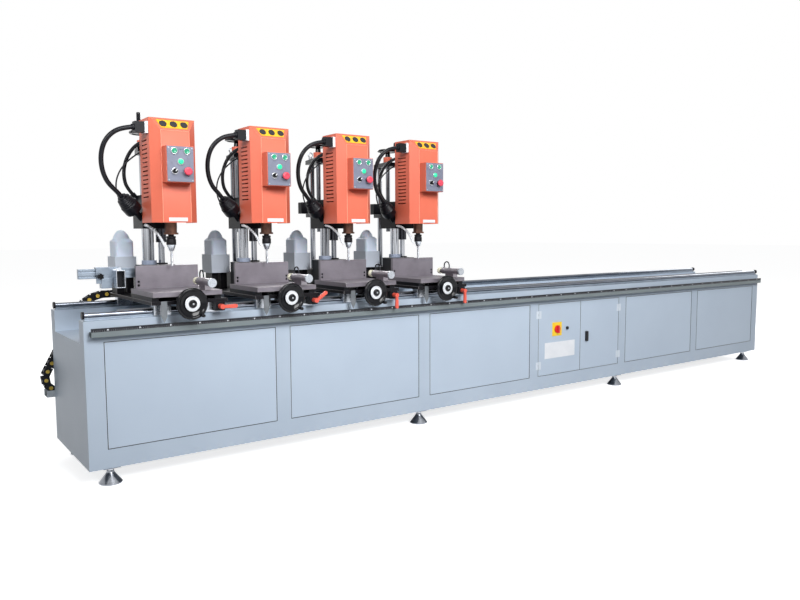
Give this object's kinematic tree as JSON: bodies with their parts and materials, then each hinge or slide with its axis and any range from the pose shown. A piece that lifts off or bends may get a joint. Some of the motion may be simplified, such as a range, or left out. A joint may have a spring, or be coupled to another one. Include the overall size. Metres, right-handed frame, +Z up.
{
  "type": "multi-spindle drilling machine",
  "caption": "Long floor-standing drilling machine for profile bars, with separate hand-moved drill heads on round rails.",
  "frame": {"origin": "on the floor under the middle of the whole machine", "axes": "+X along the bed to the right of the operator, +Y away from the operator, +Z up"},
  "size_m": [6.0618, 0.956, 1.8833],
  "materials": {
    "bed_paint": "satin light blue-grey paint",
    "panel_paint": "satin light blue-grey paint",
    "foot_metal": "turned steel",
    "rail_steel": "ground and hard-chromed",
    "rack_steel": "milled steel",
    "ledge_paint": "greenish grey paint",
    "chain_plastic": "matt black",
    "switch_plastic": "red",
    "latch_plastic": "black",
    "carriage_metal": "blackened and ground steel",
    "slide_iron": "black paint",
    "cover_paint": "orange powder coat",
    "tool_steel": "bright steel",
    "wheel_iron": "black",
    "ram_steel": "bright",
    "lever_paint": "orange-red",
    "stop_metal": "anodised",
    "red_plastic": "red",
    "black_plastic": "black",
    "green_plastic": "green"
  },
  "bodies": {
    "bed": {"bed_frame": "bed_paint", "front_panels": "panel_paint", "levelling_feet": "foot_metal", "guide_rails": "rail_steel", "feed_rack": "rack_steel", "scale_ledge": "ledge_paint", "energy_chain": "chain_plastic"},
    "left_door": {"left_door": "panel_paint"},
    "right_door": {"right_door": "panel_paint"},
    "main_switch": {"main_switch": "switch_plastic"},
    "door_latch": {"door_latch": "latch_plastic"},
    "length_stop": {"length_stop": "stop_metal"},
    "carriage_1": {"carriage_1": "carriage_metal"},
    "head_1": {"drill_head_1": "slide_iron", "head_cover_1": "cover_paint"},
    "spindle_1": {"spindle_1": "tool_steel"},
    "handwheel_1": {"handwheel_1": "wheel_iron"},
    "lift_wheel_1": {"lift_wheel_1": "wheel_iron"},
    "clamp_ram_1": {"clamp_ram_1": "ram_steel"},
    "lock_lever_1": {"lock_lever_1": "lever_paint"},
    "e_stop_1": {"e_stop_1": "red_plastic"},
    "selector_1": {"selector_1": "black_plastic"},
    "start_button_left_1": {"start_button_left_1": "green_plastic"},
    "start_button_right_1": {"start_button_right_1": "green_plastic"},
    "carriage_2": {"carriage_2": "carriage_metal"},
    "head_2": {"drill_head_2": "slide_iron", "head_cover_2": "cover_paint"},
    "spindle_2": {"spindle_2": "tool_steel"},
    "handwheel_2": {"handwheel_2": "wheel_iron"},
    "lift_wheel_2": {"lift_wheel_2": "wheel_iron"},
    "clamp_ram_2": {"clamp_ram_2": "ram_steel"},
    "lock_lever_2": {"lock_lever_2": "lever_paint"},
    "e_stop_2": {"e_stop_2": "red_plastic"},
    "selector_2": {"selector_2": "black_plastic"},
    "start_button_left_2": {"start_button_left_2": "green_plastic"},
    "start_button_right_2": {"start_button_right_2": "green_plastic"},
    "carriage_3": {"carriage_3": "carriage_metal"},
    "head_3": {"drill_head_3": "slide_iron", "head_cover_3": "cover_paint"},
    "spindle_3": {"spindle_3": "tool_steel"},
    "handwheel_3": {"handwheel_3": "wheel_iron"},
    "lift_wheel_3": {"lift_wheel_3": "wheel_iron"},
    "clamp_ram_3": {"clamp_ram_3": "ram_steel"},
    "lock_lever_3": {"lock_lever_3": "lever_paint"},
    "e_stop_3": {"e_stop_3": "red_plastic"},
    "selector_3": {"selector_3": "black_plastic"},
    "start_button_left_3": {"start_button_left_3": "green_plastic"},
    "start_button_right_3": {"start_button_right_3": "green_plastic"},
    "carriage_4": {"carriage_4": "carriage_metal"},
    "head_4": {"drill_head_4": "slide_iron", "head_cover_4": "cover_paint"},
    "spindle_4": {"spindle_4": "tool_steel"},
    "handwheel_4": {"handwheel_4": "wheel_iron"},
    "lift_wheel_4": {"lift_wheel_4": "wheel_iron"},
    "clamp_ram_4": {"clamp_ram_4": "ram_steel"},
    "lock_lever_4": {"lock_lever_4": "lever_paint"},
    "e_stop_4": {"e_stop_4": "red_plastic"},
    "selector_4": {"selector_4": "black_plastic"},
    "start_button_left_4": {"start_button_left_4": "green_plastic"},
    "start_button_right_4": {"start_button_right_4": "green_plastic"}
  },
  "joints": [
    {"name": "carriage_slide_1", "type": "slide", "parent": "bed", "child": "carriage_1", "axis": [1, 0, 0], "range_m": [-0.2, 0.028], "deforming": ["energy_chain"]},
    {"name": "handwheel_turn_1", "type": "hinge", "parent": "carriage_1", "child": "handwheel_1", "pos_m": [-2.479, -0.429, 0.872], "axis": [0, 1, 0], "range_deg": [-479, 68]},
    {"name": "head_slide_1", "type": "slide", "parent": "carriage_1", "child": "head_1", "axis": [0, 0, 1], "range_m": [-0.09, 0.03]},
    {"name": "lift_turn_1", "type": "hinge", "parent": "carriage_1", "child": "lift_wheel_1", "pos_m": [-2.515, 0.156, 1.687], "axis": [0, 0, 1], "range_deg": [-1081, 3241]},
    {"name": "spindle_turn_1", "type": "hinge", "parent": "head_1", "child": "spindle_1", "pos_m": [-2.469, -0.119, 1.213], "axis": [0, 0, 1], "continuous": true},
    {"name": "clamp_stroke_1", "type": "slide", "parent": "carriage_1", "child": "clamp_ram_1", "axis": [0, 1, 0], "range_m": [0, 0.08]},
    {"name": "lock_turn_1", "type": "hinge", "parent": "carriage_1", "child": "lock_lever_1", "pos_m": [-2.314, -0.379, 0.846], "axis": [0, 1, 0], "range_deg": [-45, 45]},
    {"name": "e_stop_push_1", "type": "slide", "parent": "head_1", "child": "e_stop_1", "axis": [0, 1, 0], "range_m": [0, 0.005]},
    {"name": "selector_turn_1", "type": "hinge", "parent": "head_1", "child": "selector_1", "pos_m": [-2.499, -0.292, 1.529], "axis": [0, 1, 0], "range_deg": [-45, 45]},
    {"name": "start_push_left_1", "type": "slide", "parent": "head_1", "child": "start_button_left_1", "axis": [0, 1, 0], "range_m": [0, 0.003], "stiffness_N_per_m": 400},
    {"name": "start_push_right_1", "type": "slide", "parent": "head_1", "child": "start_button_right_1", "axis": [0, 1, 0], "range_m": [0, 0.003], "stiffness_N_per_m": 400},
    {"name": "carriage_slide_2", "type": "slide", "parent": "bed", "child": "carriage_2", "axis": [1, 0, 0], "range_m": [-0.028, 0.028]},
    {"name": "handwheel_turn_2", "type": "hinge", "parent": "carriage_2", "child": "handwheel_2", "pos_m": [-1.93236, -0.429, 0.872], "axis": [0, 1, 0], "range_deg": [-68, 68]},
    {"name": "head_slide_2", "type": "slide", "parent": "carriage_2", "child": "head_2", "axis": [0, 0, 1], "range_m": [-0.09, 0.03]},
    {"name": "lift_turn_2", "type": "hinge", "parent": "carriage_2", "child": "lift_wheel_2", "pos_m": [-1.96836, 0.156, 1.687], "axis": [0, 0, 1], "range_deg": [-1081, 3241]},
    {"name": "spindle_turn_2", "type": "hinge", "parent": "head_2", "child": "spindle_2", "pos_m": [-1.92236, -0.119, 1.213], "axis": [0, 0, 1], "continuous": true},
    {"name": "clamp_stroke_2", "type": "slide", "parent": "carriage_2", "child": "clamp_ram_2", "axis": [0, 1, 0], "range_m": [0, 0.08]},
    {"name": "lock_turn_2", "type": "hinge", "parent": "carriage_2", "child": "lock_lever_2", "pos_m": [-1.76736, -0.379, 0.846], "axis": [0, 1, 0], "range_deg": [-45, 45]},
    {"name": "e_stop_push_2", "type": "slide", "parent": "head_2", "child": "e_stop_2", "axis": [0, 1, 0], "range_m": [0, 0.005]},
    {"name": "selector_turn_2", "type": "hinge", "parent": "head_2", "child": "selector_2", "pos_m": [-1.95236, -0.292, 1.529], "axis": [0, 1, 0], "range_deg": [-45, 45]},
    {"name": "start_push_left_2", "type": "slide", "parent": "head_2", "child": "start_button_left_2", "axis": [0, 1, 0], "range_m": [0, 0.003], "stiffness_N_per_m": 400},
    {"name": "start_push_right_2", "type": "slide", "parent": "head_2", "child": "start_button_right_2", "axis": [0, 1, 0], "range_m": [0, 0.003], "stiffness_N_per_m": 400},
    {"name": "carriage_slide_3", "type": "slide", "parent": "bed", "child": "carriage_3", "axis": [1, 0, 0], "range_m": [-0.028, 0.028]},
    {"name": "handwheel_turn_3", "type": "hinge", "parent": "carriage_3", "child": "handwheel_3", "pos_m": [-1.38573, -0.429, 0.872], "axis": [0, 1, 0], "range_deg": [-68, 68]},
    {"name": "head_slide_3", "type": "slide", "parent": "carriage_3", "child": "head_3", "axis": [0, 0, 1], "range_m": [-0.09, 0.03]},
    {"name": "lift_turn_3", "type": "hinge", "parent": "carriage_3", "child": "lift_wheel_3", "pos_m": [-1.42173, 0.156, 1.687], "axis": [0, 0, 1], "range_deg": [-1081, 3241]},
    {"name": "spindle_turn_3", "type": "hinge", "parent": "head_3", "child": "spindle_3", "pos_m": [-1.37573, -0.119, 1.213], "axis": [0, 0, 1], "continuous": true},
    {"name": "clamp_stroke_3", "type": "slide", "parent": "carriage_3", "child": "clamp_ram_3", "axis": [0, 1, 0], "range_m": [0, 0.08]},
    {"name": "lock_turn_3", "type": "hinge", "parent": "carriage_3", "child": "lock_lever_3", "pos_m": [-1.22073, -0.379, 0.846], "axis": [0, 1, 0], "range_deg": [-45, 45]},
    {"name": "e_stop_push_3", "type": "slide", "parent": "head_3", "child": "e_stop_3", "axis": [0, 1, 0], "range_m": [0, 0.005]},
    {"name": "selector_turn_3", "type": "hinge", "parent": "head_3", "child": "selector_3", "pos_m": [-1.40573, -0.292, 1.529], "axis": [0, 1, 0], "range_deg": [-45, 45]},
    {"name": "start_push_left_3", "type": "slide", "parent": "head_3", "child": "start_button_left_3", "axis": [0, 1, 0], "range_m": [0, 0.003], "stiffness_N_per_m": 400},
    {"name": "start_push_right_3", "type": "slide", "parent": "head_3", "child": "start_button_right_3", "axis": [0, 1, 0], "range_m": [0, 0.003], "stiffness_N_per_m": 400},
    {"name": "carriage_slide_4", "type": "slide", "parent": "bed", "child": "carriage_4", "axis": [1, 0, 0], "range_m": [-0.028, 3.5]},
    {"name": "handwheel_turn_4", "type": "hinge", "parent": "carriage_4", "child": "handwheel_4", "pos_m": [-0.84851, -0.429, 0.872], "axis": [0, 1, 0], "range_deg": [-68, 8357]},
    {"name": "head_slide_4", "type": "slide", "parent": "carriage_4", "child": "head_4", "axis": [0, 0, 1], "range_m": [-0.09, 0.03]},
    {"name": "lift_turn_4", "type": "hinge", "parent": "carriage_4", "child": "lift_wheel_4", "pos_m": [-0.88451, 0.156, 1.687], "axis": [0, 0, 1], "range_deg": [-1081, 3241]},
    {"name": "spindle_turn_4", "type": "hinge", "parent": "head_4", "child": "spindle_4", "pos_m": [-0.83851, -0.119, 1.213], "axis": [0, 0, 1], "continuous": true},
    {"name": "clamp_stroke_4", "type": "slide", "parent": "carriage_4", "child": "clamp_ram_4", "axis": [0, 1, 0], "range_m": [0, 0.08]},
    {"name": "lock_turn_4", "type": "hinge", "parent": "carriage_4", "child": "lock_lever_4", "pos_m": [-0.68351, -0.379, 0.846], "axis": [0, 1, 0], "range_deg": [-45, 45]},
    {"name": "e_stop_push_4", "type": "slide", "parent": "head_4", "child": "e_stop_4", "axis": [0, 1, 0], "range_m": [0, 0.005]},
    {"name": "selector_turn_4", "type": "hinge", "parent": "head_4", "child": "selector_4", "pos_m": [-0.86851, -0.292, 1.529], "axis": [0, 1, 0], "range_deg": [-45, 45]},
    {"name": "start_push_left_4", "type": "slide", "parent": "head_4", "child": "start_button_left_4", "axis": [0, 1, 0], "range_m": [0, 0.003], "stiffness_N_per_m": 400},
    {"name": "start_push_right_4", "type": "slide", "parent": "head_4", "child": "start_button_right_4", "axis": [0, 1, 0], "range_m": [0, 0.003], "stiffness_N_per_m": 400},
    {"name": "left_door_hinge", "type": "hinge", "parent": "bed", "child": "left_door", "pos_m": [0.077, -0.3383, 0.262], "axis": [0, 0, 1], "range_deg": [-110, 0]},
    {"name": "right_door_hinge", "type": "hinge", "parent": "bed", "child": "right_door", "pos_m": [0.97, -0.3383, 0.262], "axis": [0, 0, 1], "range_deg": [0, 110]},
    {"name": "main_switch_turn", "type": "hinge", "parent": "left_door", "child": "main_switch", "pos_m": [0.267, -0.336, 0.515], "axis": [0, 1, 0], "range_deg": [0, 90]},
    {"name": "latch_turn", "type": "hinge", "parent": "right_door", "child": "door_latch", "pos_m": [0.5895, -0.334, 0.462], "axis": [0, 1, 0], "range_deg": [-90, 0]},
    {"name": "length_stop_slide", "type": "slide", "parent": "carriage_1", "child": "length_stop", "axis": [1, 0, 0], "range_m": [-0.038, 0.05]}
  ],
  "couplings": [
    {"joint": "handwheel_turn_1", "follows": "carriage_slide_1", "rad_per_m": 41.667},
    {"joint": "lift_turn_1", "follows": "head_slide_1", "rad_per_m": -628.32},
    {"joint": "handwheel_turn_2", "follows": "carriage_slide_2", "rad_per_m": 41.667},
    {"joint": "lift_turn_2", "follows": "head_slide_2", "rad_per_m": -628.32},
    {"joint": "handwheel_turn_3", "follows": "carriage_slide_3", "rad_per_m": 41.667},
    {"joint": "lift_turn_3", "follows": "head_slide_3", "rad_per_m": -628.32},
    {"joint": "handwheel_turn_4", "follows": "carriage_slide_4", "rad_per_m": 41.667},
    {"joint": "lift_turn_4", "follows": "head_slide_4", "rad_per_m": -628.32}
  ]
}
